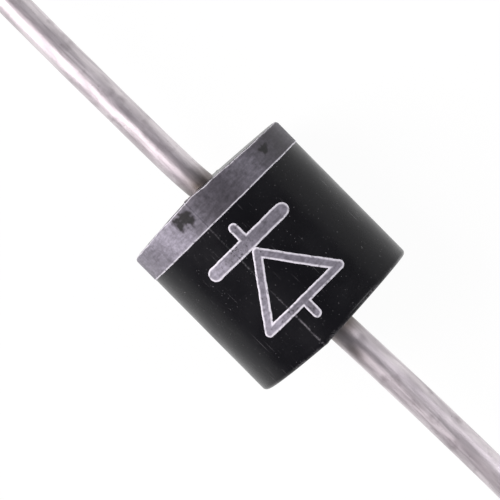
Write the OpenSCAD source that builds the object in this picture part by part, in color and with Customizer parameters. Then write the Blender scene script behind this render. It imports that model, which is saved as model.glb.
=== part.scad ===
// Axial-lead rectifier diode in a moulded epoxy cylinder.
// The diode lies along X: the banded cathode end points to -X, the anode end to +X.
// Its two mould halves meet on the XZ plane, where a thin flash line stands proud.
// Inside, a silicon die is soldered between the nail heads of two copper leads.

/* [Moulded case] */
// Diameter of the moulded case
case_dia = 8.9; // [8.4:0.1:9.6]
// Length of the case, measured along the flash line
case_length = 8.9; // [8.4:0.1:9.8]
// Draft of each end face, in degrees away from the flash line
end_draft = 3.4; // [2:0.2:5]
// Radius of the rim round each end face
rim_radius = 0.2; // [0.15:0.05:0.35]
// Height of the flash line over the case
flash_height = 0.04; // [0.02:0.01:0.08]
// Thickness of the flash line
flash_thickness = 0.06; // [0.04:0.02:0.12]

/* [Marking] */
// Thickness of the printed ink
ink_thickness = 0.03; // [0.02:0.01:0.06]
// Width of the cathode band's place, from the end face to the band's inner edge
band_width = 1.6; // [1.2:0.1:2]
// Gap between the band and the polarity symbol
print_margin = 0.5; // [0.3:0.1:0.8]
// Turn of the symbol's middle round the case, in degrees from the flash line
print_turn = 10; // [0:2:20]
// Length of the polarity symbol along the case
symbol_length = 5.7; // [5:0.1:6.2]
// Width of the symbol's triangle and bar across the case
symbol_width = 4.8; // [4:0.1:5.4]
// Length of the symbol's triangle
triangle_length = 3.4; // [2.8:0.1:3.8]
// Width of the strokes of the triangle and its lead lines
thin_stroke = 0.45; // [0.35:0.05:0.55]
// Width of the stroke of the cathode bar
thick_stroke = 0.7; // [0.6:0.05:0.8]

/* [Leads] */
// Diameter of the tinned copper wire
lead_dia = 1.4; // [1.2:0.05:1.5]
// Length of each lead outside the case
lead_length = 25.4; // [20:0.2:28]
// Chamfer left by the cut at the tip of each lead
tip_chamfer = 0.12; // [0.05:0.01:0.2]
// Diameter of the nail head that holds the lead in the case
head_dia = 4.8; // [4.4:0.1:5.4]
// Thickness of the nail head
head_thickness = 0.7; // [0.5:0.05:0.9]
// Radius of the head's upset edge
head_edge = 0.15; // [0.1:0.05:0.2]
// Fillet between the wire and its head
head_fillet = 0.5; // [0.3:0.1:0.8]
// Diameter of the bead that anchors the wire in the compound
bead_dia = 2; // [1.8:0.1:2.3]
// Length of the bead along the wire
bead_length = 0.9; // [0.7:0.1:1]
// Depth of the bead's middle under the end face
bead_depth = 0.54; // [0.54:0.02:1]

/* [Junction] */
// Side of the square silicon die
die_size = 2.9; // [2.6:0.1:3]
// Thickness of the die
die_thickness = 0.26; // [0.22:0.02:0.32]
// How far the etched edges of the die slope in
die_bevel = 0.12; // [0.06:0.02:0.16]
// Diameter of each solder disc
solder_dia = 2.5; // [2.2:0.1:2.5]
// Thickness of each solder disc
solder_thickness = 0.08; // [0.06:0.01:0.1]
// Diameter of the coating round the die's edges
coating_dia = 4.5; // [4.4:0.05:4.6]

/* [Fit] */
// Clearance between the moulding compound and what it closes round
moulding_gap = 0.02; // [0.01:0.01:0.04]

/* [Hidden] */
$fn = 96;

case_r = case_dia / 2;
half_case = case_length / 2;
half_stack = die_thickness / 2 + solder_thickness; // from the die's middle to a nail head
lead_tip = half_case + lead_length;
band_edge = band_width - half_case;                // the band's inner edge, along X
print_start = band_edge + print_margin;
beyond = 2;                                        // how far a cutting solid passes what it cuts
rim_overlap = 0.03; // the rims are this much larger than the case, so that each cuts it all round

// Turns a profile of [radius, place along X] round the X axis
module along_x() rotate([0, 90, 0]) rotate_extrude() children();

module lying_cylinder(radius, length) rotate([0, 90, 0]) cylinder(r = radius, h = length, center = true);

// ---- Moulded case ----

// Everything below one drafted end face, with the rounded rim that the face has
module below_end_face(side) {
    rim_r = case_r + rim_overlap - rim_radius;
    depth = case_length + beyond;
    translate([half_case, 0, 0]) rotate([0, 0, side * end_draft]) along_x() {
        translate([0, -rim_radius]) square([rim_r, rim_radius]);
        intersection() {
            translate([rim_r, -rim_radius]) circle(rim_radius);
            translate([0, -rim_radius]) square([case_dia, rim_radius]);
        }
        translate([0, -depth]) square([case_r + beyond, depth - rim_radius]);
    }
}

// One of the two mould halves: side is 1 towards +Y and -1 towards -Y
module mould_half(side) intersection() {
    lying_cylinder(case_r, case_length + beyond);
    translate([0, side * case_dia / 2, 0]) cube([case_length + beyond, case_dia, case_dia + beyond], center = true);
    below_end_face(side);
    mirror([1, 0, 0]) below_end_face(side);
}

module rounded_rectangle(size, radius) {
    square([size.x - 2 * radius, size.y], center = true);
    square([size.x, size.y - 2 * radius], center = true);
    for (x = [-1, 1], y = [-1, 1])
        translate([x * (size.x / 2 - radius), y * (size.y / 2 - radius)]) circle(radius);
}

// The sheet of compound squeezed out where the mould halves meet
module flash_line() rotate([90, 0, 0]) linear_extrude(flash_thickness, center = true)
    rounded_rectangle([case_length, case_dia] + 2 * flash_height * [1, 1], rim_radius + flash_height);

module moulded_case() color([0.09, 0.09, 0.10]) difference() {
    union() {
        mould_half(-1);
        mould_half(1);
        flash_line();
    }
    headed_lead(moulding_gap);
    mirror([1, 0, 0]) headed_lead(moulding_gap);
    coating_envelope(moulding_gap);
}

// ---- Marking ----

module ink_layer(length) difference() {
    lying_cylinder(case_r + ink_thickness, length);
    lying_cylinder(case_r, length + beyond);
}

// The band starts where the rim ends, so its outer edge follows the drafted end face
module cathode_band() color([0.45, 0.44, 0.48]) difference() {
    intersection() {
        ink_layer(case_length);
        linear_extrude(case_dia + beyond, center = true) for (side = [-1, 1])
            polygon([
                [rim_radius - half_case, 0], [band_edge, 0], [band_edge, side * case_dia],
                [rim_radius - half_case + case_dia * tan(end_draft), side * case_dia]
            ]);
    }
    flash_line();
}

// A pen stroke with round ends
module stroke(start, end, width) {
    run = end - start;
    translate(start) rotate(atan2(run.y, run.x)) {
        translate([0, -width / 2]) square([norm(run), width]);
        for (x = [0, norm(run)]) translate([x, 0]) circle(width / 2);
    }
}

// A triangle pointing to -X, from its tip to its base, with the room inside it left bare
module triangle_outline(tip, base, reach, width) {
    slope = atan(reach / (base - tip));
    inner_tip = tip + width / sin(slope);
    inner_base = base - width;
    difference() {
        polygon([[tip, 0], [base, reach], [base, -reach]]);
        polygon([
            [inner_tip, 0], [inner_base, (inner_base - inner_tip) * tan(slope)],
            [inner_base, (inner_tip - inner_base) * tan(slope)]
        ]);
    }
}

// Diode symbol as a tall block: a triangle that points at a bar on the cathode side, and a line to each end
module diode_symbol(height) {
    reach = symbol_width / 2;
    line = (symbol_length - triangle_length - thick_stroke) / 2; // length of each lead line
    bar = print_start + line + thick_stroke / 2;
    base = bar + thick_stroke / 2 + triangle_length;
    linear_extrude(height) stroke([print_start + thin_stroke / 2, 0], [bar, 0], thin_stroke);
    linear_extrude(height)
        stroke([bar, thick_stroke / 2 - reach], [bar, reach - thick_stroke / 2], thick_stroke);
    linear_extrude(height) triangle_outline(bar, base, reach, thin_stroke);
    linear_extrude(height)
        stroke([base - thin_stroke / 2, 0], [print_start + symbol_length - thin_stroke / 2, 0], thin_stroke);
}

module polarity_print() color([0.55, 0.54, 0.58]) difference() {
    intersection() {
        ink_layer(case_length);
        rotate([-print_turn, 0, 0]) diode_symbol(case_dia);
    }
    flash_line();
}

// ---- Leads ----

// The nail-headed lead on the anode side; spread widens it round its axis
module headed_lead(spread = 0) {
    wire_r = lead_dia / 2 + spread;
    head_r = head_dia / 2 + spread;
    along_x() {
        translate([0, half_case - bead_depth]) bead(spread);
        polygon([
            [0, half_stack], [wire_r, half_stack], [wire_r, lead_tip - tip_chamfer],
            [wire_r - tip_chamfer, lead_tip], [0, lead_tip]
        ]);
        translate([0, half_stack]) upset_head(head_r);
        translate([0, half_stack + head_thickness]) difference() {
            square([wire_r + head_fillet, head_fillet]);
            translate([wire_r + head_fillet, head_fillet]) circle(head_fillet);
        }
    }
}

// Half section of a head, with both edges rounded by upsetting the wire
module upset_head(radius) intersection() {
    translate([0, head_thickness / 2]) rounded_rectangle([2 * radius, head_thickness], head_edge);
    square([radius + beyond, head_thickness]);
}

// Half section of the anchoring bead: an arc that stands out of the wire
module bead(spread) {
    height = (bead_dia - lead_dia) / 2;
    arc_r = (pow(bead_length / 2, 2) + pow(height, 2)) / (2 * height);
    intersection() {
        translate([bead_dia / 2 - arc_r, 0]) circle(arc_r + spread);
        translate([0, -bead_length]) square([bead_dia, 2 * bead_length]);
    }
}

module anode_lead() color([0.80, 0.78, 0.79]) headed_lead();

module cathode_lead() color([0.80, 0.78, 0.79]) mirror([1, 0, 0]) headed_lead();

// ---- Junction ----

// One side of the die: a square whose edges slope in towards -X and outline a face there
module sloped_die() rotate([90, 0, 0]) linear_extrude(die_size, center = true) polygon([
    [-die_thickness / 2, die_bevel - die_size / 2], [die_thickness / 2, -die_size / 2],
    [die_thickness / 2, die_size / 2], [-die_thickness / 2, die_size / 2 - die_bevel]
]);

module silicon_die() color([0.36, 0.38, 0.42]) intersection() {
    sloped_die();
    rotate([90, 0, 0]) sloped_die();
}

module solder_disc() translate([(die_thickness + solder_thickness) / 2, 0, 0])
    lying_cylinder(solder_dia / 2, solder_thickness);

module anode_solder() color([0.62, 0.63, 0.65]) solder_disc();

module cathode_solder() color([0.62, 0.63, 0.65]) mirror([1, 0, 0]) solder_disc();

// Outline of the coating, which bulges half round between the two nail heads
module coating_envelope(spread = 0) along_x() intersection() {
    union() {
        square([coating_dia - 2 * half_stack, 2 * half_stack], center = true);
        translate([coating_dia / 2 - half_stack, 0]) circle(half_stack + spread);
    }
    translate([0, -half_stack]) square([coating_dia, 2 * half_stack]);
}

module junction_coating() color([0.85, 0.84, 0.80]) difference() {
    coating_envelope();
    silicon_die();
    lying_cylinder(solder_dia / 2 + moulding_gap, 2 * half_stack + beyond);
}

moulded_case();
cathode_band();
polarity_print();
cathode_lead();
anode_lead();
cathode_solder();
anode_solder();
silicon_die();
junction_coating();
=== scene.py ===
import itertools
import math
import bpy
import numpy as np
from mathutils import Matrix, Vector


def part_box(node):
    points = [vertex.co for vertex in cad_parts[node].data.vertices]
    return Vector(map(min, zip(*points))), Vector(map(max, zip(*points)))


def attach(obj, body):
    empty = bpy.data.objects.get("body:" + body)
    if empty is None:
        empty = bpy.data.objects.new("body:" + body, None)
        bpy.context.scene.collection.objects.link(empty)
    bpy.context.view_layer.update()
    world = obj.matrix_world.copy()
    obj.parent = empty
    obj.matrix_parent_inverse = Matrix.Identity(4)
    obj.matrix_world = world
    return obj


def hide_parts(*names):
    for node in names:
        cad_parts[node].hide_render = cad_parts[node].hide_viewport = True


# An axial rectifier diode: a moulded black case on two tinned wires, with its
# cathode band and polarity symbol pad-printed. It lies along X, cathode at -X.
# Shapes are worked out in millimetres as (along X, distance from X) and a turn
# round X that starts at +Z and grows towards +Y.

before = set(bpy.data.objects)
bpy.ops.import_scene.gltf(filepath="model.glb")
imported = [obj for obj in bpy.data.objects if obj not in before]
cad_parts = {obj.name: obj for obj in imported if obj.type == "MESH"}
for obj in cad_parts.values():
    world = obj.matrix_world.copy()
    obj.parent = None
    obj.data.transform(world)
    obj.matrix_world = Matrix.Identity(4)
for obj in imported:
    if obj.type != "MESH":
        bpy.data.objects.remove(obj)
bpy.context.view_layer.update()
mm = 0.001
noiseCells = 32      # cells each way before a noise repeats
sharpDegrees = 38    # faces that meet at more than this are shaded apart
print("frame loaded:", sorted(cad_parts))


# tools for shapes

def boxInMm(node):
    # lowest and highest corner of a CAD node, in millimetres
    return [np.array(corner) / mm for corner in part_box(node)]


def segment(start, end, count):
    # count points from start towards end, evenly spaced, the end left out
    return np.linspace(start, end, count, endpoint=False)


def bend(centre, radius, fromDegrees, toDegrees, count):
    # count points of an arc: centre + radius * (cos, sin) of evenly spaced angles, the last left out
    angle = np.radians(segment(fromDegrees, toDegrees, count))
    return np.array(centre) + radius * np.column_stack([np.cos(angle), np.sin(angle)])


def unevenNoise(points, size, seed):
    # value noise from -1 to 1: a seeded random number at each corner of cells of this size,
    # eased between the corners by t * t * (3 - 2 t)
    table = np.random.default_rng(seed).uniform(-1, 1, (noiseCells,) * 3)
    cell = np.asarray(points, float) / size
    base = np.floor(cell).astype(int)
    ease = cell - base
    ease = ease * ease * (3 - 2 * ease)
    total = 0
    for corner in itertools.product((0, 1), repeat=3):
        weight = np.prod(np.where(np.array(corner) == 1, ease, 1 - ease), axis=-1)
        x, y, z = np.moveaxis((base + corner) % noiseCells, -1, 0)
        total = total + weight * table[x, y, z]
    return total


def layeredNoise(points, seed, layers, start=0):
    # start + strength * noise for each layer (strength, cell size), each with the next seed
    total = start
    for step, (strength, size) in enumerate(layers):
        total = total + strength * unevenNoise(points, size, seed + step)
    return total


def bell(distance, width):
    # exp(-(distance / width)^2): 1 in the middle and fading out
    return np.exp(-(distance / width) ** 2)


def together(x, y, z):
    # points from whole arrays of x, y and z
    return np.stack(np.broadcast_arrays(x, y, z), axis=-1)


def aroundX(along, radius, turn):
    # a point at (x, r sin turn, r cos turn), for whole arrays at once
    return together(along, radius * np.sin(turn), radius * np.cos(turn))


def degreesFrom(turn, middle):
    # degrees from a middle turn, between -180 and 180
    return (np.degrees(turn) - middle + 180) % 360 - 180


def evenTurns(count):
    # count even turns of the whole circle
    return np.arange(count) * 2 * math.pi / count


def ringFaces(rows, around, closed):
    # the four corners of each cell between neighbouring rings; closed joins the last ring to the first
    corner = np.arange(rows * around).reshape(rows, around)
    beside = np.roll(corner, -1, axis=1)
    cells = np.stack([corner, beside, np.roll(beside, -1, axis=0), np.roll(corner, -1, axis=0)], axis=-1)
    return cells[:rows if closed else rows - 1].reshape(-1, 4)


def addPiece(name, points, faces, material, node, fields):
    # a mesh from points in millimetres and lists of three- or four-cornered faces, turned so that
    # its signed volume is positive; fields are the values that its points carry
    triangles = np.concatenate([f[:, [0, k, k + 1]] for f in faces for k in range(1, f.shape[1] - 1)])
    a, b, c = (points[triangles[:, k]] for k in range(3))
    if np.einsum("ij,ij->i", a, np.cross(b, c)).sum() < 0:
        faces = [f[:, ::-1] for f in faces]
    mesh = bpy.data.meshes.new(name)
    mesh.from_pydata((points * mm).tolist(), [], [face for f in faces for face in f.tolist()])
    for field, values in fields.items():
        carried = mesh.attributes.new(field, "FLOAT", "POINT")
        carried.data.foreach_set("value", np.asarray(values, np.float32).ravel())
    mesh.polygons.foreach_set("use_smooth", np.ones(len(mesh.polygons), bool))
    mesh.set_sharp_from_angle(angle=math.radians(sharpDegrees))
    mesh.materials.append(material)
    piece = bpy.data.objects.new(name, mesh)
    bpy.context.scene.collection.objects.link(piece)
    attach(piece, "root")
    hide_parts(node)
    print(name, "made:", len(triangles), "triangles")
    return piece


# tools for finishes

def linear(hexColour):
    # sRGB to linear: v / 12.92 up to 0.04045, and ((v + 0.055) / 1.055) to the power 2.4 above it
    v = np.array([int(hexColour[k:k + 2], 16) for k in (1, 3, 5)]) / 255
    return (*np.where(v <= 0.04045, v / 12.92, ((v + 0.055) / 1.055) ** 2.4).tolist(), 1.0)


def perMetre(sizeInMm):
    # texture scale at which one cell of a pattern is this many millimetres
    return 1 / (sizeInMm * mm)


def addNode(tree, kind, settings=None, links=None):
    # one node: a setting or a link that names or numbers a socket goes to it,
    # any other setting goes on the node
    node = tree.nodes.new("ShaderNode" + kind)
    for key, value in (settings or {}).items():
        if isinstance(key, int) or key in node.inputs:
            node.inputs[key].default_value = value
        else:
            setattr(node, key, value)
    for key, socket in (links or {}).items():
        tree.links.new(socket, node.inputs[key])
    return node


def carriedBy(tree, field):
    # a value that the mesh carries at its points
    return addNode(tree, "Attribute", {"attribute_name": field}).outputs["Fac"]


def grainOf(tree, place, cell, detail, **more):
    # noise in cells of this many millimetres
    settings = {"Scale": perMetre(cell), "Detail": detail, **more}
    return addNode(tree, "TexNoise", settings, {"Vector": place}).outputs["Fac"]


def stretched(tree, place, scale, turnDegrees=0):
    # the place turned about Z and scaled, so that a pattern on it is drawn out where the scale is small
    settings = {"Rotation": (0, 0, math.radians(turnDegrees)), "Scale": scale}
    return addNode(tree, "Mapping", settings, {"Vector": place}).outputs["Vector"]


def spread(tree, value, low, high, toLow=0.0, toHigh=1.0):
    # low to high carried over to toLow to toHigh in a straight line, and held at the ends
    settings = {"From Min": low, "From Max": high, "To Min": toLow, "To Max": toHigh}
    return addNode(tree, "MapRange", settings, {"Value": value}).outputs["Result"]


def combined(tree, operation, first, second):
    # two outputs added, multiplied or compared
    return addNode(tree, "Math", {"operation": operation}, {0: first, 1: second}).outputs[0]


def tinted(tree, under, over, share):
    # one colour laid over another by a share from 0 to 1; under is a hex colour or the colour so far
    settings, links = {"data_type": "RGBA", 7: linear(over)}, {0: share}
    if isinstance(under, str):
        settings[6] = linear(under)
    else:
        links[6] = under
    return addNode(tree, "Mix", settings, links).outputs[2]


def bumped(tree, height, strength, depth, under=None, sunk=False):
    # relief of this depth in millimetres, on the relief beneath it; sunk turns it inwards
    links = {"Height": height}
    if under is not None:
        links["Normal"] = under
    settings = {"Strength": strength, "Distance": depth * mm, "invert": sunk}
    return addNode(tree, "Bump", settings, links).outputs["Normal"]


def startMaterial(name, constants):
    # a material with these constants set on its shader, and the object's own coordinates to work from
    material = bpy.data.materials.new(name)
    material.use_nodes = True
    tree = material.node_tree
    shader = tree.nodes["Principled BSDF"]
    for socket, value in constants.items():
        shader.inputs[socket].default_value = value
    return material, tree, shader, addNode(tree, "TexCoord").outputs["Object"]


def feed(tree, shader, colour, gloss, relief):
    # joins the three patterns to the shader
    for name, output in (("Base Color", colour), ("Roughness", gloss), ("Normal", relief)):
        tree.links.new(output, shader.inputs[name])


# the moulded case, and the section of the headed wires that it closes round

case = {
    "rimRadius": 0.2,        # rounding round each end face
    "draft": 3.4,            # degrees that each end face leans back from the parting line
    "flashWidth": 0.03,      # half the flash line's thickness
    "cavityGap": 0.02,       # room between the compound and what it closes round
    "mouthDepth": 0.05,      # depth of the cavity's first ring under the end face
    "around": 256,           # points round the case
    "crowding": 0.45,        # how much closer together they stand at the parting line
    "facePoints": 26,        # points across an end face
    "rimPoints": 8,
    "sidePoints": 86,
    "waviness": 0.004,       # how far the moulded skin wanders
    "wearSpread": 1.3,       # width of the worn flash line, in its own widths
    "wornEverywhere": 0.15,  # share of the flash line's wear that is there all along it
    "wornUneven": 0.5,
    "wornMore": 0.7,         # what is added towards the anode
    "wornFrom": 1.2,         # place along X from which it is
    "wornRun": 1.5,          # length over which that builds up
    "rimGlintDegrees": 22,     # width of the painted highlight along a rim
    "rimGlintUsual": 0.32,     # how strong the painted highlight on a rim is, how much that varies, and the most
    "rimGlintUneven": 0.5,
    "wearAndGlintMost": 0.6,
    "scratches": ((24, 0.035), (-38, 0.045), (78, 0.03)),    # turn about Z in degrees, width
    "darkBlack": "#060609",
    "lightBlack": "#0b0b10",
    "scratchColour": "#3d3c3f",
    "speckColour": "#6a696b",
    "wornAndGlintColour": "#767478",
}
lowCase, highCase = boxInMm("moulded_case")
caseRadius = highCase[1]
flashHeight = highCase[2] - highCase[1]
halfCase = highCase[0] - flashHeight
draftSlope = math.tan(math.radians(case["draft"]))

lead = {
    "wireRadius": 0.7,
    "tipChamfer": 0.12,      # left by the cutter
    "headThickness": 0.7,    # the nail head inside the case
    "headEdge": 0.15,
    "headFillet": 0.5,
    "beadPlace": 0.54,       # middle of the anchoring bead, under the end face
    "beadHeight": 0.3,
    "beadLength": 0.9,
    "sectionPoints": (12, 8, 8, 6, 5, 3),    # along bead, wire, fillet, head's back, edge and side
    "around": 72,
    "fineLength": 2.2,       # length next to the case in which the rings stand closer
    "waviness": 0.006,       # how far the drawn and bent wire wanders from straight
    "heldLength": 0.15,      # length outside the case that stays straight
    "looseRun": 1.0,         # length after it over which the wandering builds up
    "kinkLength": 0.8,       # length over which a shift at the case builds up
    "leanFade": 9,           # length over which a handled wire's lean dies away
    "leanTowards": (-0.97, 0.24),    # where a lean goes, as (Y, Z)
    "drawMarks": 0.0035,     # depth of the marks from drawing
    "drawStretch": 0.2,      # scale along the wire of those marks
    "shadeLength": 0.9,      # length next to the case over which the painted shade dies away
    "shadeStart": 1.15,      # how strong it is there, before it is held to 1
    "shadeUsual": 0.75,
    "shadeUneven": 0.35,
    "dentShade": 11,          # how fast painted shade darkens a dent, for each millimetre of depth
    "darkTin": "#bab3b7",
    "lightTin": "#dfd8db",
    "dullColour": "#958c90",
    "speckColour": "#77706f",
    "shadeColour": "#6b635d",
}
lowLead, highLead = boxInMm("anode_lead")
headInside, leadTip, headRadius = lowLead[0], highLead[0], highLead[1]


def crowdedTurns(count):
    # count turns round the case: even turns less crowding * sin(2 turn), closer at the parting line
    even = evenTurns(count)
    return (even - case["crowding"] * np.sin(2 * even))[None, :]


def draftLean(radius, turn):
    # what the draft leaves of a distance from the middle: 1 - |r sin turn| * slope / half length
    return 1 - np.abs(radius * np.sin(turn)) * draftSlope / halfCase


def flashRidge(along, radius, turn):
    # height of the flash: a bell across the parting plane, times an uneven strength along it
    farApart = 40    # keeps the noise of the two sides apart
    line = together(along, farApart * np.sign(np.cos(turn)), radius * np.cos(turn))
    strength = np.clip(layeredNoise(line, 3, ((0.5, 0.9), (0.35, 0.22)), 0.62), 0.08, 1)
    return flashHeight * strength * bell(radius * np.sin(turn), case["flashWidth"])


def caseOutline(offset):
    # half section of the case grown by an offset: end face, rim, side, rim, end face
    r, side = case["rimRadius"], caseRadius - case["rimRadius"]
    end, hole = halfCase - r, lead["wireRadius"] + case["cavityGap"]
    return np.concatenate([
        segment([halfCase + offset, hole], [halfCase + offset, side], case["facePoints"]),
        bend([end, side], r + offset, 0, 90, case["rimPoints"]),
        segment([end, caseRadius + offset], [-end, caseRadius + offset], case["sidePoints"]),
        bend([-end, side], r + offset, 90, 180, case["rimPoints"]),
        np.linspace([-halfCase - offset, side], [-halfCase - offset, hole], case["facePoints"] + 1),
    ])


def leadSection(gap):
    # half section of a headed wire from its bead inwards, grown by a gap: bead as an arc, wire, fillet,
    # head; and the place where the bead starts
    beadPoints, wirePoints, filletPoints, backPoints, edgePoints, sidePoints = lead["sectionPoints"]
    wire = lead["wireRadius"] + gap
    top = lead["beadHeight"] + lead["wireRadius"]
    half = lead["beadLength"] / 2
    beadArc = (half ** 2 + lead["beadHeight"] ** 2) / (2 * lead["beadHeight"])
    beadX, beadCentre = halfCase - lead["beadPlace"], top - beadArc
    reach = math.degrees(math.asin((wire - beadCentre) / (beadArc + gap)))
    beadHalf = (beadArc + gap) * math.cos(math.radians(reach))
    outside = headInside + lead["headThickness"]
    edge, fillet = lead["headEdge"], lead["headFillet"]
    rim = headRadius + gap - edge
    return beadX + beadHalf, np.concatenate([
        bend([beadX, beadCentre], beadArc + gap, reach, 180 - reach, beadPoints),
        segment([beadX - beadHalf, wire], [outside + fillet, wire], wirePoints),
        bend([outside + fillet, wire + fillet], fillet, 270, 180, filletPoints),
        segment([outside, wire + fillet], [outside, rim], backPoints),
        bend([outside - edge, rim], edge, 0, 90, edgePoints),
        segment([outside - edge, rim + edge], [headInside + edge, rim + edge], sidePoints),
        bend([headInside + edge, rim], edge, 90, 180, edgePoints),
    ])


def makeCase(material):
    # the outline carried round X and closed inwards by the cavity, as one surface of two parameters;
    # the skin and the flash push each point out along the outline, and the draft draws its x in
    turn = crowdedTurns(case["around"])
    outline = caseOutline(0)
    normal = caseOutline(1) - outline
    along, radius = outline[:, :1], outline[:, 1:]
    spot = aroundX(along, radius, turn)
    skin = case["waviness"] * layeredNoise(spot, 11, ((0.7, 1.7), (0.3, 0.5))) - case["waviness"]
    skin[[0, -1]] = 0
    height = skin + flashRidge(along, radius, turn)
    outer = aroundX((along + normal[:, :1] * height) * draftLean(radius, turn),
                    radius + normal[:, 1:] * height, turn)
    start, section = leadSection(case["cavityGap"])
    mouth = segment([halfCase - case["mouthDepth"], section[0, 1]], [start, section[0, 1]], 2)
    wall = np.concatenate([mouth, section])
    wall = np.concatenate([wall * [-1, 1], wall[::-1]])
    inner = aroundX(wall[:, :1], wall[:, 1:], turn)
    grid = np.concatenate([outer, inner])
    # the flash line is rubbed paler, more so towards the anode
    worn = np.clip((along - case["wornFrom"]) / case["wornRun"], 0, 1)
    worn = case["wornEverywhere"] + case["wornUneven"] * unevenNoise(spot, 0.8, 21) + case["wornMore"] * worn
    flashWearAndRimGlint = bell(radius * np.sin(turn), case["wearSpread"] * case["flashWidth"]) * np.clip(worn, 0, 1)
    # a painted highlight along the rims, laid on as pale colour where their outline turns through half a
    # right angle
    outlineDegrees = np.degrees(np.arctan2(np.abs(normal[:, :1]), normal[:, 1:]))
    rimGlint = bell(outlineDegrees - 45, case["rimGlintDegrees"])
    rubbedAndRimGlint = case["rimGlintUsual"] + case["rimGlintUneven"] * unevenNoise(spot, 0.5, 22)
    flashWearAndRimGlint = np.maximum(flashWearAndRimGlint, rimGlint * np.clip(rubbedAndRimGlint, 0, case["wearAndGlintMost"]))
    # the worn flash line and the painted rim highlight, carried to the finish together
    paleWearAndGlint = np.concatenate([flashWearAndRimGlint, np.zeros(inner.shape[:2])])
    return addPiece("mouldedCase", grid.reshape(-1, 3), [ringFaces(*grid.shape[:2], True)],
                    material, "moulded_case", {"paleWearAndGlint": paleWearAndGlint})


def makeEpoxy():
    # Epoxy moulding compound, black, filled with silica, satin from a spark-eroded steel mould:
    # a broken soft sheen, light specks where filler shows, hair scratches, a paler worn flash line, and a
    # painted highlight along the rims of the end faces
    material, tree, shader, place = startMaterial("epoxyMouldingCompound", {
        "IOR": 1.55, "Specular IOR Level": 0.15, "Metallic": 0.0})
    cloud = grainOf(tree, place, 1.6, 4.0)
    grain = grainOf(tree, place, 0.09, 3.0)
    # filler specks are a hundredth of a millimetre; drawn at 0.07 mm so that they show
    speck = spread(tree, grainOf(tree, place, 0.07, 1.0), 0.735, 0.79)
    scratch = None
    for turnDegrees, width in case["scratches"]:
        lie = stretched(tree, place, (0.03, 1, 0.25), turnDegrees)
        line = spread(tree, grainOf(tree, lie, width, 0.0), 0.83, 0.9)
        scratch = line if scratch is None else combined(tree, "MAXIMUM", scratch, line)
    # pale wear on the flash line and a painted highlight on the rims, broken up by the grain
    paleWearAndGlint = combined(tree, "MULTIPLY", carriedBy(tree, "paleWearAndGlint"), spread(tree, grain, 0.38, 0.6))
    colour = tinted(tree, case["darkBlack"], case["lightBlack"], cloud)
    colour = tinted(tree, colour, case["scratchColour"], scratch)
    colour = tinted(tree, colour, case["speckColour"], speck)
    colour = tinted(tree, colour, case["wornAndGlintColour"], paleWearAndGlint)
    gloss = spread(tree, cloud, 0.3, 0.7, 0.22, 0.34)
    relief = bumped(tree, grain, 0.5, 0.004)
    relief = bumped(tree, cloud, 0.6, 0.03, relief)
    relief = bumped(tree, scratch, 0.6, 0.006, relief, sunk=True)
    feed(tree, shader, colour, gloss, relief)
    return material


makeCase(makeEpoxy())


# the pad-printed ink: what band and symbol share, then each of them

ink = {
    "squeezeOutAndGlint": 0.11,      # width of the bright rim at an edge: the thick ink that the pad leaves there, with a painted highlight on it
    "edgeWander": 0.014,     # how far a printed edge wanders
    "edgeRise": 0.03,        # width over which the film rises from its edge
    "tuck": 0.008,           # how deep the film's underside lies in the skin
    "underFlash": 0.8,       # share of the flash's height that the underside follows
    "thinColour": "#322f35",
    "thickColour": "#8c8994",
    "rubbedColour": "#161517",
    "pitColour": "#19181a",
    # bright rim colour: partly the thick ink squeezed out, partly a painted highlight
    "rimAndHighlightColour": "#d2d0d7",
    # how thick the film lies at each turn in degrees, the pad having pressed unevenly; these values also
    # paint light and shade round the case, lighter on the -Y side, darker over the top and on the +Y side
    "filmAndShade": {
        -180: 0.5, -120: 0.45, -80: 0.5, -53: 0.52, -40: 0.6, -27: 0.9, -17: 0.95, -10: 0.8, -6: 0.42,
        -1: 0.4, 4: 0.24, 11: 0.13, 21: 0.12, 30: 0.24, 39: 0.42, 46: 0.36, 54: 0.18, 72: 0.03, 100: 0.2,
        150: 0.4, 180: 0.5,
    },
}
band = {
    "columns": 36,           # points across the band, on the round of the case
    "around": 640,           # points round it
    "rimRows": 12,           # points round the case's rim
    "overRim": 58,           # degrees that the band's ink reaches round the rim
    "even": 0.55,            # usual thickness, as a share of the most that the ink may have
    "mottled": 0.16,         # how much it varies
    "squeezed": 0.35,        # how much thicker it is where it was squeezed out
    "squeezedPlace": 0.05,   # how far inside the edge that is
    "squeezedWidth": 0.035,
    "most": 0.95,
    "atEdge": 0.12,          # what is left of the thickness at the very edge
    "overFlash": 0.6,        # how much thinner it is on the flash line
    "innerRim": 1.5,         # how much narrower the bright rim is at the inner edge
    "outerRim": 0.02,        # and by how many millimetres at the outer one
    # rubbed patches: turn in degrees, width round, place from the outer edge, width across
    "rubbedAndRimGlint": ((-6.8, 0.5, 0.46, 0.36), (59, 0.3, 0.48, 0.2)),
    "rubbedFrom": 0.2,       # where on its bell a patch begins, and how strongly it is rubbed
    "rubbedStrength": 1.9,
    "wearAndGlintMost": 1.2,
}
symbol = {
    "cell": 0.024,           # grid that the symbol is cut from
    "margin": 3,             # cells round it
    "nudge": 0.004,          # step that measures how the distance to the edge slopes
    "thinStroke": 0.45,
    "thickStroke": 0.7,
    "triangleLength": 3.4,
    "turn": 10,              # degrees from the parting line to the symbol's middle
    "even": 0.5,
    "mottled": 0.2,
    "squeezed": 0.38,
    "squeezedPlace": 0.06,
    "squeezedWidth": 0.04,
    "most": 0.97,
    "atEdge": 0.15,
}
highBand = boxInMm("cathode_band")[1]
lowPrint, highPrint = boxInMm("polarity_print")
inkThickness = highBand[1] - caseRadius
leastFilm = 0.2              # no film is thinner than this share, away from its edge


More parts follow.
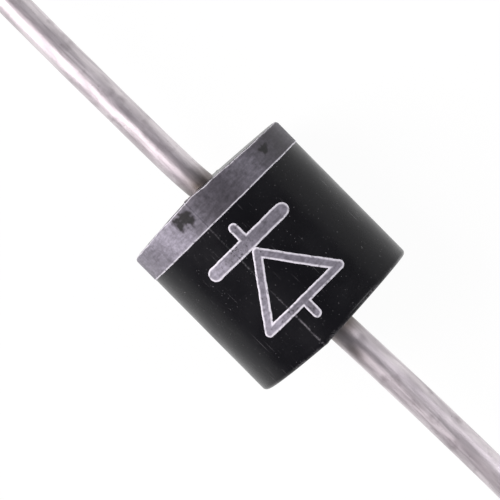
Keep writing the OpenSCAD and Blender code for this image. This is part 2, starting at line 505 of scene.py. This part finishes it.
def inkShadeRound(turn, spot, seed):
    # how much ink the film holds, 0 to 1, with painted light and shade round the case in it: the values
    # at their turns, joined by straight lines, times 1 + noise
    inkAndShade = np.interp(degreesFrom(turn, 0), list(ink["filmAndShade"]), list(ink["filmAndShade"].values()))
    return inkAndShade * layeredNoise(spot, seed, ((0.22, 0.6), (0.12, 0.25)), 1)


def filmThickness(piece, mottle, fromSqueezed, fromEdge):
    # ink's thickness: (even + mottled * mottle + a bell where it was squeezed out), held between its
    # least and its most, and falling to the edge as the square root of the distance
    body = piece["even"] + piece["mottled"] * mottle + piece["squeezed"] * bell(
        fromSqueezed - piece["squeezedPlace"], piece["squeezedWidth"])
    rise = np.clip(fromEdge / ink["edgeRise"], 0, 1) ** 0.5
    return inkThickness * np.clip(body, leastFilm, piece["most"]) * (
        piece["atEdge"] + (1 - piece["atEdge"]) * rise)


def makeBand(material):
    # a sleeve of ink: across it, from the inner edge over the round of the case and part way round its
    # rim; round it, the turn. it stands off the case by the flash + the ink's thickness
    turn = crowdedTurns(band["around"])
    ring = aroundX(0 * turn, caseRadius, turn)
    r, end = case["rimRadius"], halfCase - case["rimRadius"]
    inner = highBand[0] + ink["edgeWander"] * (layeredNoise(ring, 31, ((0.6, 0.5), (0.4, 0.14))) - 0.6)
    lastAngle = math.pi / 1.25       # columns at 1 - cos(angle) stand closer at the inner edge
    across = 1 - np.cos(segment(0, lastAngle, band["columns"]))
    across = across[:, None] / (1 - math.cos(lastAngle))
    reach = math.radians(band["overRim"]) * (1 + 0.18 * unevenNoise(ring, 0.4, 33))
    swing = np.linspace(0, 1, band["rimRows"])[:, None] * reach
    leanSide = draftLean(caseRadius, turn)
    flatAlong = inner + (-end * leanSide - inner) * across
    rimRadius = caseRadius - r + r * np.cos(swing)
    rimAlong = -(end + r * np.sin(swing)) * draftLean(rimRadius, turn)
    along = np.concatenate([flatAlong, rimAlong])
    radius = np.concatenate([caseRadius + 0 * flatAlong, rimRadius])
    tilt = np.concatenate([0 * flatAlong, swing])
    spot = aroundX(along, radius, turn)
    fromInner = inner - along
    fromOuter = np.concatenate([flatAlong + end * leanSide + r * reach, r * (reach - swing)])
    mottle = layeredNoise(spot, 34, ((0.5, 0.16), (0.5, 0.07)))
    ridge = flashRidge(along, radius, turn)
    thickness = filmThickness(band, mottle, fromInner, np.minimum(fromInner, fromOuter))
    thickness = thickness * (1 - band["overFlash"] * ridge / flashHeight)

    def lifted(height):
        # the band's points, each raised square to the case
        return aroundX(along - height * np.sin(tilt), radius + height * np.cos(tilt), turn)

    # the underside has every third row
    grid = np.concatenate([lifted(ridge + thickness), lifted(ink["underFlash"] * ridge - ink["tuck"])[::-3]])
    under = np.zeros((grid.shape[0] - len(along), band["around"]))
    farFromEdge = 9.0
    # distance to the edges, where the bright rim and its painted highlight go
    edge = np.concatenate([np.minimum(band["innerRim"] * fromInner, fromOuter + band["outerRim"]),
                           under + farFromEdge])
    # each rubbed patch is a bell round its middle, pulled out of round by noise
    degrees = degreesFrom(turn, 0)
    # ink held round the case, which also paints light and shade round it
    coverAndShade = inkShadeRound(turn, spot, 36)
    drift = layeredNoise(spot, 38, ((0.3, 0.34), (0.13, 0.12)))
    driftAcross = layeredNoise(spot, 49, ((0.26, 0.3), (0.12, 0.11)))
    for middle, wide, place, deep in band["rubbedAndRimGlint"]:
        fromMiddle = np.radians(degrees - middle) * caseRadius + drift
        bare = np.exp(-(fromMiddle / wide) ** 2 - ((fromOuter - place + driftAcross) / deep) ** 2)
        taken = (bare - band["rubbedFrom"]) * band["rubbedStrength"] * (1 + 0.6 * unevenNoise(spot, 0.08, 53))
        coverAndShade = coverAndShade - np.clip(taken, 0, band["wearAndGlintMost"])
    pitting = np.clip(0.15 + 0.35 * unevenNoise(spot, 0.8, 40), 0, 1)
    fields = {"edgeDistance": edge, "coverAndShade": np.concatenate([np.clip(coverAndShade, -0.35, 1), under]),
              "pitting": np.concatenate([pitting, under])}
    return addPiece("cathodeBandInk", grid.reshape(-1, 3), [ringFaces(*grid.shape[:2], True)],
                    material, "cathode_band", fields)


printTurn = math.radians(symbol["turn"])
# the symbol's half width across the case, from how far round its box reaches
symbolReach = caseRadius * math.sin(math.asin(min(1, highPrint[1] / (caseRadius + inkThickness))) - printTurn)


def strokeDistance(x, v, start, end, radius):
    # distance to the edge of a round-ended pen stroke: distance to its centre line less its half width
    start, run = np.array(start), np.array(end) - np.array(start)
    share = np.clip(((x - start[0]) * run[0] + (v - start[1]) * run[1]) / (run @ run), 0, 1)
    return np.hypot(x - start[0] - share * run[0], v - start[1] - share * run[1]) - radius


def symbolDistance(x, v):
    # the diode symbol as the least of its strokes' distances: lead line, bar, triangle, lead line
    thin, thick = symbol["thinStroke"] / 2, symbol["thickStroke"] / 2
    start, end = lowPrint[0], highPrint[0]
    line = (end - start - symbol["triangleLength"] - 2 * thick) / 2
    bar = start + line + thick
    tip, base = bar + thick + thin, bar + thick + symbol["triangleLength"] - thin
    reach = symbolReach - thin
    strokes = [
        ((start + thin, 0), (bar, 0), thin),
        ((bar, thick - symbolReach), (bar, symbolReach - thick), thick),
        ((tip, 0), (base, reach), thin),
        ((base, reach), (base, -reach), thin),
        ((base, -reach), (tip, 0), thin),
        ((base, 0), (end - thin, 0), thin),
    ]
    return np.min([strokeDistance(x, v, *stroke) for stroke in strokes], axis=0)


def wanderingDistance(x, v):
    # the symbol's distance + edge wander * noise, so that its edge isn't quite straight
    flat = together(x, v, 0 * x)
    return symbolDistance(x, v) + ink["edgeWander"] * (
        layeredNoise(flat, 41, ((0.7, 0.3), (0.5, 0.1))) + 0.4)


def makeSymbol(material):
    # cells of a flat grid whose middle is inside the symbol, their outer corners slid onto its edge
    # along the distance's slope, then laid on the case: turn = middle + asin(v / R), and closed by an
    # underside and a skirt
    step = symbol["cell"]
    margin = symbol["margin"] * step
    x, v = np.meshgrid(np.arange(lowPrint[0] - margin, highPrint[0] + margin, step),
                       np.arange(-symbolReach - margin, symbolReach + margin, step), indexing="ij")
    kept = wanderingDistance(x[:-1, :-1] + step / 2, v[:-1, :-1] + step / 2) < 0
    corner = np.arange(x.size).reshape(x.shape)
    cells = np.stack([corner[:-1, :-1], corner[1:, :-1], corner[1:, 1:], corner[:-1, 1:]], axis=-1)[kept]
    used, cells = np.unique(cells, return_inverse=True)
    cells = cells.reshape(-1, 4)
    x, v = x.ravel()[used], v.ravel()[used]
    # a side that only one cell has lies on the symbol's rim
    sides = np.stack([cells, np.roll(cells, -1, axis=1)], axis=-1).reshape(-1, 2)
    _, first, count = np.unique(np.sort(sides, axis=1), axis=0, return_index=True, return_counts=True)
    rim = sides[first[count == 1]]
    onRim = np.zeros(len(x), bool)
    onRim[rim] = True
    nudge, leastSlope, slides = symbol["nudge"], 0.2, 4
    for _ in range(slides):
        distance = wanderingDistance(x, v)
        slopeX = (wanderingDistance(x + nudge, v) - wanderingDistance(x - nudge, v)) / (2 * nudge)
        slopeV = (wanderingDistance(x, v + nudge) - wanderingDistance(x, v - nudge)) / (2 * nudge)
        steepness = np.maximum(slopeX ** 2 + slopeV ** 2, leastSlope)
        x = np.where(onRim, x - distance * slopeX / steepness, x)
        v = np.where(onRim, v - distance * slopeV / steepness, v)
    inside = np.maximum(-wanderingDistance(x, v), 0)
    flat = together(x, v, 0 * x)
    mottle = layeredNoise(flat, 43, ((0.6, 0.13), (0.4, 0.06)))
    thickness = filmThickness(symbol, mottle, inside, inside)
    turn = printTurn + np.arcsin(v / caseRadius)
    ridge = flashRidge(x, caseRadius, turn)
    top = aroundX(x, caseRadius + ridge + thickness, turn)
    bottom = aroundX(x, caseRadius - ink["tuck"] + ink["underFlash"] * ridge, turn)
    skirt = np.column_stack([rim[:, 1], rim[:, 0], rim[:, 0] + len(x), rim[:, 1] + len(x)])
    # the symbol's ink holds the same painted light and shade round the case as the band
    coverAndShade = np.clip(0.5 + 0.45 * inkShadeRound(turn, flat, 45) + 0.12 * unevenNoise(flat, 0.9, 47), 0, 1)
    # the film is most pitted near the top of the case, within 16 degrees
    pitting = np.clip(0.3 + 0.7 * bell(np.degrees(turn), 16) + 0.4 * unevenNoise(flat, 1.1, 48), 0, 1)
    fields = {"edgeDistance": inside, "coverAndShade": coverAndShade, "pitting": pitting}
    return addPiece("polaritySymbolInk", np.concatenate([top, bottom]),
                    [cells, cells[:, ::-1] + len(x), skirt], material, "polarity_print",
                    {field: np.tile(values, 2) for field, values in fields.items()})


def makeInk():
    # Pad-printing ink, light grey two-part epoxy, cured: a matt film that broke up as the pad lifted,
    # so that it is mottled and pitted to the black beneath, with painted light and shade round the case,
    # and a bright rim that is partly thick ink squeezed out at the edge and partly a painted highlight
    material, tree, shader, place = startMaterial("padPrintedInk", {"IOR": 1.5, "Specular IOR Level": 0.35})
    edge = carriedBy(tree, "edgeDistance")
    coverAndShade = carriedBy(tree, "coverAndShade")
    mottle = grainOf(tree, place, 0.2, 5.0, Roughness=0.65)
    dots = grainOf(tree, place, 0.085, 2.0)
    wipe = grainOf(tree, stretched(tree, place, (1, 0.25, 0.25)), 0.12, 3.0)
    # the film's colour by the ink held, and with it painted light and shade round the case
    film = tinted(tree, ink["thinColour"], ink["thickColour"], coverAndShade)
    # a cover below nothing is where the film was rubbed off
    film = tinted(tree, film, ink["rubbedColour"], spread(tree, coverAndShade, 0.0, -0.3))
    shade = combined(tree, "MULTIPLY", spread(tree, mottle, 0.32, 0.66, 0.62, 1.2),
                     spread(tree, wipe, 0.35, 0.65, 0.8, 1.12))
    tone = addNode(tree, "CombineColor", {}, {0: shade, 1: shade, 2: shade}).outputs[0]
    colour = addNode(tree, "Mix", {"data_type": "RGBA", "blend_type": "MULTIPLY", 0: 1.0},
                     {6: film, 7: tone}).outputs[2]
    thin = spread(tree, carriedBy(tree, "pitting"), 0.0, 1.0, -0.12, 0.03)
    pit = spread(tree, combined(tree, "ADD", dots, thin), 0.63, 0.69)
    colour = tinted(tree, colour, ink["pitColour"], pit)
    # the bright rim: partly thick ink squeezed out at the edge, partly a painted highlight along it
    rim = combined(tree, "MULTIPLY", spread(tree, edge, ink["squeezeOutAndGlint"], 0.45 * ink["squeezeOutAndGlint"]),
                   spread(tree, mottle, 0.3, 0.46))
    colour = tinted(tree, colour, ink["rimAndHighlightColour"], rim)
    gloss = spread(tree, mottle, 0.3, 0.7, 0.42, 0.62)
    relief = bumped(tree, mottle, 0.6, 0.008)
    relief = bumped(tree, pit, 0.8, 0.01, relief, sunk=True)
    feed(tree, shader, colour, gloss, relief)
    return material


inkMaterial = makeInk()
makeBand(inkMaterial)
makeSymbol(inkMaterial)


# the leads; each dent is its place outside the end face, turn in degrees, depth, length and width

cathodeWire = {
    "side": -1,
    "shift": 0.085,          # how far the wire steps over next to the case
    "slope": 0.0215,         # how steeply it leans there
    "dents": ((3.4, -35, 0.012, 0.9, 0.3), (11, 10, 0.01, 1.6, 0.3)),
    "seed": 51,
}
anodeWire = {
    "side": 1,
    "shift": 0,
    "slope": -0.045,
    "dents": ((1.3, -24, 0.06, 0.7, 0.3), (0.9, 38, 0.02, 0.35, 0.2),
              (6.5, 30, 0.014, 1.4, 0.25), (9.8, -5, 0.012, 1.8, 0.3)),
    "seed": 71,
}


def makeLead(name, node, bent, material):
    # the half section carried round X, side 1 towards +X: its middle leans by
    # shift * (1 - exp(-d / kink)) + slope * fade * tanh(d / fade), at d outside the end face, and wanders
    # a little, and each dent presses the wire in by depth * exp(-(distance / size)^2)
    start, section = leadSection(0)
    side, seed = bent["side"], bent["seed"]
    wire, chamfer = lead["wireRadius"], lead["tipChamfer"]
    fineEnd = halfCase + lead["fineLength"]
    outline = np.concatenate([
        segment([leadTip, 0], [leadTip, wire - chamfer], 4),
        segment([leadTip, wire - chamfer], [leadTip - chamfer, wire], 3),
        segment([leadTip - chamfer, wire], [fineEnd, wire], 120),
        segment([fineEnd, wire], [start, wire], 40),
        section,
        np.linspace([headInside, headRadius - lead["headEdge"]], [headInside, 0], 6),
    ])
    turn = evenTurns(lead["around"])[None, :]
    along, radius = outline[1:-1, :1], outline[1:-1, 1:]
    # nothing moves inside the case
    free = np.clip((along - halfCase - lead["heldLength"]) / lead["looseRun"], 0, 1)
    line = np.concatenate([along, 0 * along, 0 * along], axis=1)
    wanderY = lead["waviness"] * free * layeredNoise(line, seed, ((1, 7), (0.35, 1.7)))[:, None]
    wanderZ = lead["waviness"] * free * layeredNoise(line, seed + 2, ((1, 6), (0.35, 1.9)))[:, None]
    out = np.clip(along - halfCase, 0, None)
    fade = lead["leanFade"]
    leaning = bent["shift"] * (1 - np.exp(-out / lead["kinkLength"]))
    leaning = leaning + bent["slope"] * fade * np.tanh(out / fade)
    wanderY = wanderY + lead["leanTowards"][0] * leaning
    wanderZ = wanderZ + lead["leanTowards"][1] * leaning
    spot = aroundX(along * lead["drawStretch"], radius, turn)
    roundSpots = spot * [1 / lead["drawStretch"], 1, 1]
    drawn = free * lead["drawMarks"] * (
        unevenNoise(spot, 0.2, seed + 4) + unevenNoise(roundSpots, 0.5, seed + 5))
    outward = np.where(along > halfCase, 1.0, 0.0)
    pressed = 0
    for place, degrees, depth, length, width in bent["dents"]:
        beside = np.radians(degreesFrom(turn, degrees)) * wire
        pressed = pressed + outward * depth * np.exp(
            -((along - halfCase - place) / length) ** 2 - (beside / width) ** 2)
    tube = aroundX(along * side, radius + (drawn - pressed), turn) + together(0 * turn, wanderY, wanderZ)
    rings, around = tube.shape[:2]
    poles = np.array([[side * leadTip, wanderY[0, 0], wanderZ[0, 0]], [side * headInside, 0, 0]])
    first, last = np.arange(around), (rings - 1) * around + np.arange(around)
    caps = [np.column_stack([np.roll(first, -1), first, np.full(around, rings * around)]),
            np.column_stack([last, np.roll(last, -1), np.full(around, rings * around + 1)])]
    # how close a point is to the case, where painted shade darkens the tin next to the case; a dent is
    # darkened by painted shade too
    close = np.clip(lead["shadeStart"] - (along - halfCase) / lead["shadeLength"], 0, 1)
    broken = lead["shadeUsual"] + lead["shadeUneven"] * unevenNoise(spot, 0.4, seed + 6)
    paintedShade = np.maximum(close * broken, lead["dentShade"] * pressed)
    field = np.concatenate([np.broadcast_to(paintedShade, tube.shape[:2]).ravel(), [0, 0]])
    return addPiece(name, np.concatenate([tube.reshape(-1, 3), poles]),
                    [ringFaces(rings, around, False), *caps], material, node,
                    {"paintedShade": field})


def makeTin():
    # Matt tin, electroplated over drawn copper wire: a soft metal with a wide broken highlight, fine
    # drawing lines and slow wavy streaks along the wire, rubbed spots from handling, and painted shade
    # close to the case and in the dents
    material, tree, shader, place = startMaterial("tinPlatedCopperWire", {"Metallic": 1.0})
    lines = grainOf(tree, stretched(tree, place, (0.04, 1, 1)), 0.07, 3.0, Roughness=0.6)
    streak = grainOf(tree, stretched(tree, place, (0.18, 1, 1)), 0.38, 3.0, Distortion=0.4)
    blotch = grainOf(tree, place, 0.9, 4.0)
    grit = grainOf(tree, place, 0.06, 2.0)
    colour = tinted(tree, lead["darkTin"], lead["lightTin"], spread(tree, streak, 0.35, 0.65))
    colour = tinted(tree, colour, lead["dullColour"], spread(tree, blotch, 0.56, 0.72, 0.0, 0.6))
    colour = tinted(tree, colour, lead["speckColour"], spread(tree, grit, 0.68, 0.76, 0.0, 0.7))
    # painted shade next to the case and in the dents
    colour = tinted(tree, colour, lead["shadeColour"], carriedBy(tree, "paintedShade"))
    gloss = spread(tree, lines, 0.3, 0.7, 0.34, 0.5)
    relief = bumped(tree, lines, 0.5, 0.004)
    relief = bumped(tree, streak, 0.5, 0.025, relief)
    feed(tree, shader, colour, gloss, relief)
    return material


tin = makeTin()
makeLead("cathodeLeadWire", "cathode_lead", cathodeWire, tin)
makeLead("anodeLeadWire", "anode_lead", anodeWire, tin)


# the junction inside the case keeps its CAD shapes and gets its finishes

def makeSolder():
    # High-lead soft solder, reflowed: a dull grey metal skin, a little grainy where it froze
    material, tree, shader, place = startMaterial("softSolder", {"Metallic": 1.0})
    grain = grainOf(tree, place, 0.15, 4.0)
    feed(tree, shader, tinted(tree, "#8d8f92", "#b4b5b7", grain),
         spread(tree, grain, 0.0, 1.0, 0.3, 0.55), bumped(tree, grain, 0.6, 0.01))
    return material


def makeSilicon():
    # Diffused silicon die, sawn and etched: dark blue-grey with a metallic gleam and a faint saw pattern
    material, tree, shader, place = startMaterial("etchedSilicon", {"Metallic": 1.0})
    saw = grainOf(tree, stretched(tree, place, (1, 1, 0.05)), 0.05, 2.0)
    feed(tree, shader, tinted(tree, "#4c515a", "#6a707b", saw),
         spread(tree, saw, 0.0, 1.0, 0.12, 0.3), bumped(tree, saw, 0.4, 0.002))
    return material


def makeCoating():
    # Silicone junction coating resin, dispensed and cured: milky off-white, soft gloss, slightly lumpy
    material, tree, shader, place = startMaterial("siliconeJunctionCoating", {
        "IOR": 1.41, "Specular IOR Level": 0.5})
    lump = grainOf(tree, place, 0.4, 3.0)
    feed(tree, shader, tinted(tree, "#cfccc2", "#e6e4dc", lump),
         spread(tree, lump, 0.0, 1.0, 0.28, 0.45), bumped(tree, lump, 0.5, 0.01))
    return material


solder, silicon, coating = makeSolder(), makeSilicon(), makeCoating()
for node, material in (("cathode_solder", solder), ("anode_solder", solder),
                       ("silicon_die", silicon), ("junction_coating", coating)):
    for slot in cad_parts[node].material_slots:
        slot.material = material
print("junction dressed")


# floor, light and camera

stage = {
    "floorColour": "#f2f2f1",
    "flatRadius": 650,       # beyond it the floor sweeps up, as a studio table does
    "sweepRadius": 260,
    "sweepDegrees": 62,
    "around": 96,            # points round the floor
    "showThrough": 0.96,     # share of plain white that the eye and a mirror see in the floor
    "worldColour": "#8f8e91",
}


def makeFloor():
    # a flat disc that sweeps up at its rim, as a profile of (radius, height) carried round Z
    bottom, around, radius = lowCase[2], stage["around"], stage["sweepRadius"]
    sweep = bend([stage["flatRadius"], radius], radius, 270, 270 + stage["sweepDegrees"], 16)
    section = np.concatenate([segment([1, 0], [stage["flatRadius"], 0], 6), sweep])
    turn = evenTurns(around)[None, :]
    grid = together(section[:, :1] * np.cos(turn), section[:, :1] * np.sin(turn), section[:, 1:] + bottom)
    middle = np.arange(around)
    points = np.concatenate([grid.reshape(-1, 3), [[0, 0, bottom]]])
    faces = ringFaces(*grid.shape[:2], False).tolist() + np.column_stack(
        [np.roll(middle, -1), middle, np.full(around, len(points) - 1)]).tolist()
    mesh = bpy.data.meshes.new("studioFloor")
    mesh.from_pydata((points * mm).tolist(), [], faces)
    mesh.polygons.foreach_set("use_smooth", np.ones(len(mesh.polygons), bool))
    mesh.materials.append(makePaper())
    floor = bpy.data.objects.new("studioFloor", mesh)
    bpy.context.scene.collection.objects.link(floor)


def makePaper():
    # White paper sweep, matt: the eye and mirrors see it mostly as plain white, other light sees paper
    material = bpy.data.materials.new("whitePaperSweep")
    material.use_nodes = True
    tree = material.node_tree
    tree.nodes.remove(tree.nodes["Principled BSDF"])
    path = addNode(tree, "LightPath").outputs
    seen = combined(tree, "MAXIMUM", path["Is Camera Ray"], path["Is Glossy Ray"])
    seen = combined(tree, "MAXIMUM", seen, path["Is Transmission Ray"])
    share = addNode(tree, "Math", {"operation": "MULTIPLY", 1: stage["showThrough"]}, {0: seen}).outputs[0]
    paper = addNode(tree, "BsdfDiffuse", {"Color": linear(stage["floorColour"])}).outputs[0]
    white = addNode(tree, "Emission", {"Color": (1, 1, 1, 1), "Strength": 1.0}).outputs[0]
    both = addNode(tree, "MixShader", {}, {0: share, 1: paper, 2: white}).outputs[0]
    tree.links.new(both, tree.nodes["Material Output"].inputs["Surface"])
    return material


makeFloor()

world = bpy.data.worlds.new("studioRoom")
world.use_nodes = True
world.node_tree.nodes["Background"].inputs["Color"].default_value = linear(stage["worldColour"])
world.node_tree.nodes["Background"].inputs["Strength"].default_value = 1.0
bpy.context.scene.world = world

# the eye stands over the flash line, turned a little towards +Y
eye = {
    "lean": 14.1,            # degrees from +Z towards +Y
    "slant": 0.98,           # degrees along X
    "roll": 45.28,           # degrees about its own line of sight
    "distance": 200,
    "aim": (-0.931, -0.264),     # what it looks at, to its right and downwards from the middle of the case
    "lens": 318.5,
    "sensor": 36,
    "clip": (0.01, 10),      # metres
}
eyeLean, eyeSlant, eyeRoll = (math.radians(eye[key]) for key in ("lean", "slant", "roll"))
upward = np.array([0, math.sin(eyeLean), math.cos(eyeLean)])
sideways = np.array([0, -math.cos(eyeLean), math.sin(eyeLean)])
xAxis = np.array([1.0, 0, 0])
eyeBack = -math.sin(eyeSlant) * xAxis + math.cos(eyeSlant) * upward
eyeAlong = math.cos(eyeSlant) * xAxis + math.sin(eyeSlant) * upward

# softboxes: place along X, turn towards +Y from the eye's lean, distance, size, and how bright the face is
softboxes = {
    "leftSoftbox": {"along": -95, "turn": -52, "distance": 170, "size": (110, 230),
                    "radiance": 8.0, "colour": "#fff8fb"},
    "rightSoftbox": {"along": 84, "turn": 43, "distance": 165, "size": (80, 110),
                     "radiance": 5.8, "colour": "#fdfbff"},
}


def standAt(thing, right, up, back, place):
    # puts a lamp or the camera at a place in millimetres, with its own axes along these directions
    thing.matrix_world = Matrix(np.vstack([np.column_stack([right, up, back, place * mm]), [0, 0, 0, 1]]))
    bpy.context.scene.collection.objects.link(thing)


for name, box in softboxes.items():
    angle = eyeLean + math.radians(box["turn"])
    place = np.array([box["along"], box["distance"] * math.sin(angle), box["distance"] * math.cos(angle)])
    light = bpy.data.lights.new(name, "AREA")
    light.shape = "RECTANGLE"
    light.size, light.size_y = box["size"][0] * mm, box["size"][1] * mm
    # power of a face of that brightness: radiance * pi * area
    light.energy = box["radiance"] * math.pi * light.size * light.size_y
    light.color = linear(box["colour"])[:3]
    lamp = bpy.data.objects.new(name, light)
    lamp.visible_camera = False
    back = place / np.linalg.norm(place)      # its face looks at the case
    right = xAxis - back[0] * back
    right = right / np.linalg.norm(right)
    standAt(lamp, right, np.cross(back, right), back, place)

cameraData = bpy.data.cameras.new("eye")
cameraData.lens, cameraData.sensor_width = eye["lens"], eye["sensor"]
cameraData.clip_start, cameraData.clip_end = eye["clip"]
camera = bpy.data.objects.new("eye", cameraData)
right = eyeAlong * math.cos(eyeRoll) - sideways * math.sin(eyeRoll)
down = eyeAlong * math.sin(eyeRoll) + sideways * math.cos(eyeRoll)
target = eye["aim"][0] * right + eye["aim"][1] * down
standAt(camera, right, -down, eyeBack, target + eye["distance"] * eyeBack)
bpy.context.scene.camera = camera
bpy.context.scene.view_settings.view_transform = "Standard"
print("stage, lights and camera placed")
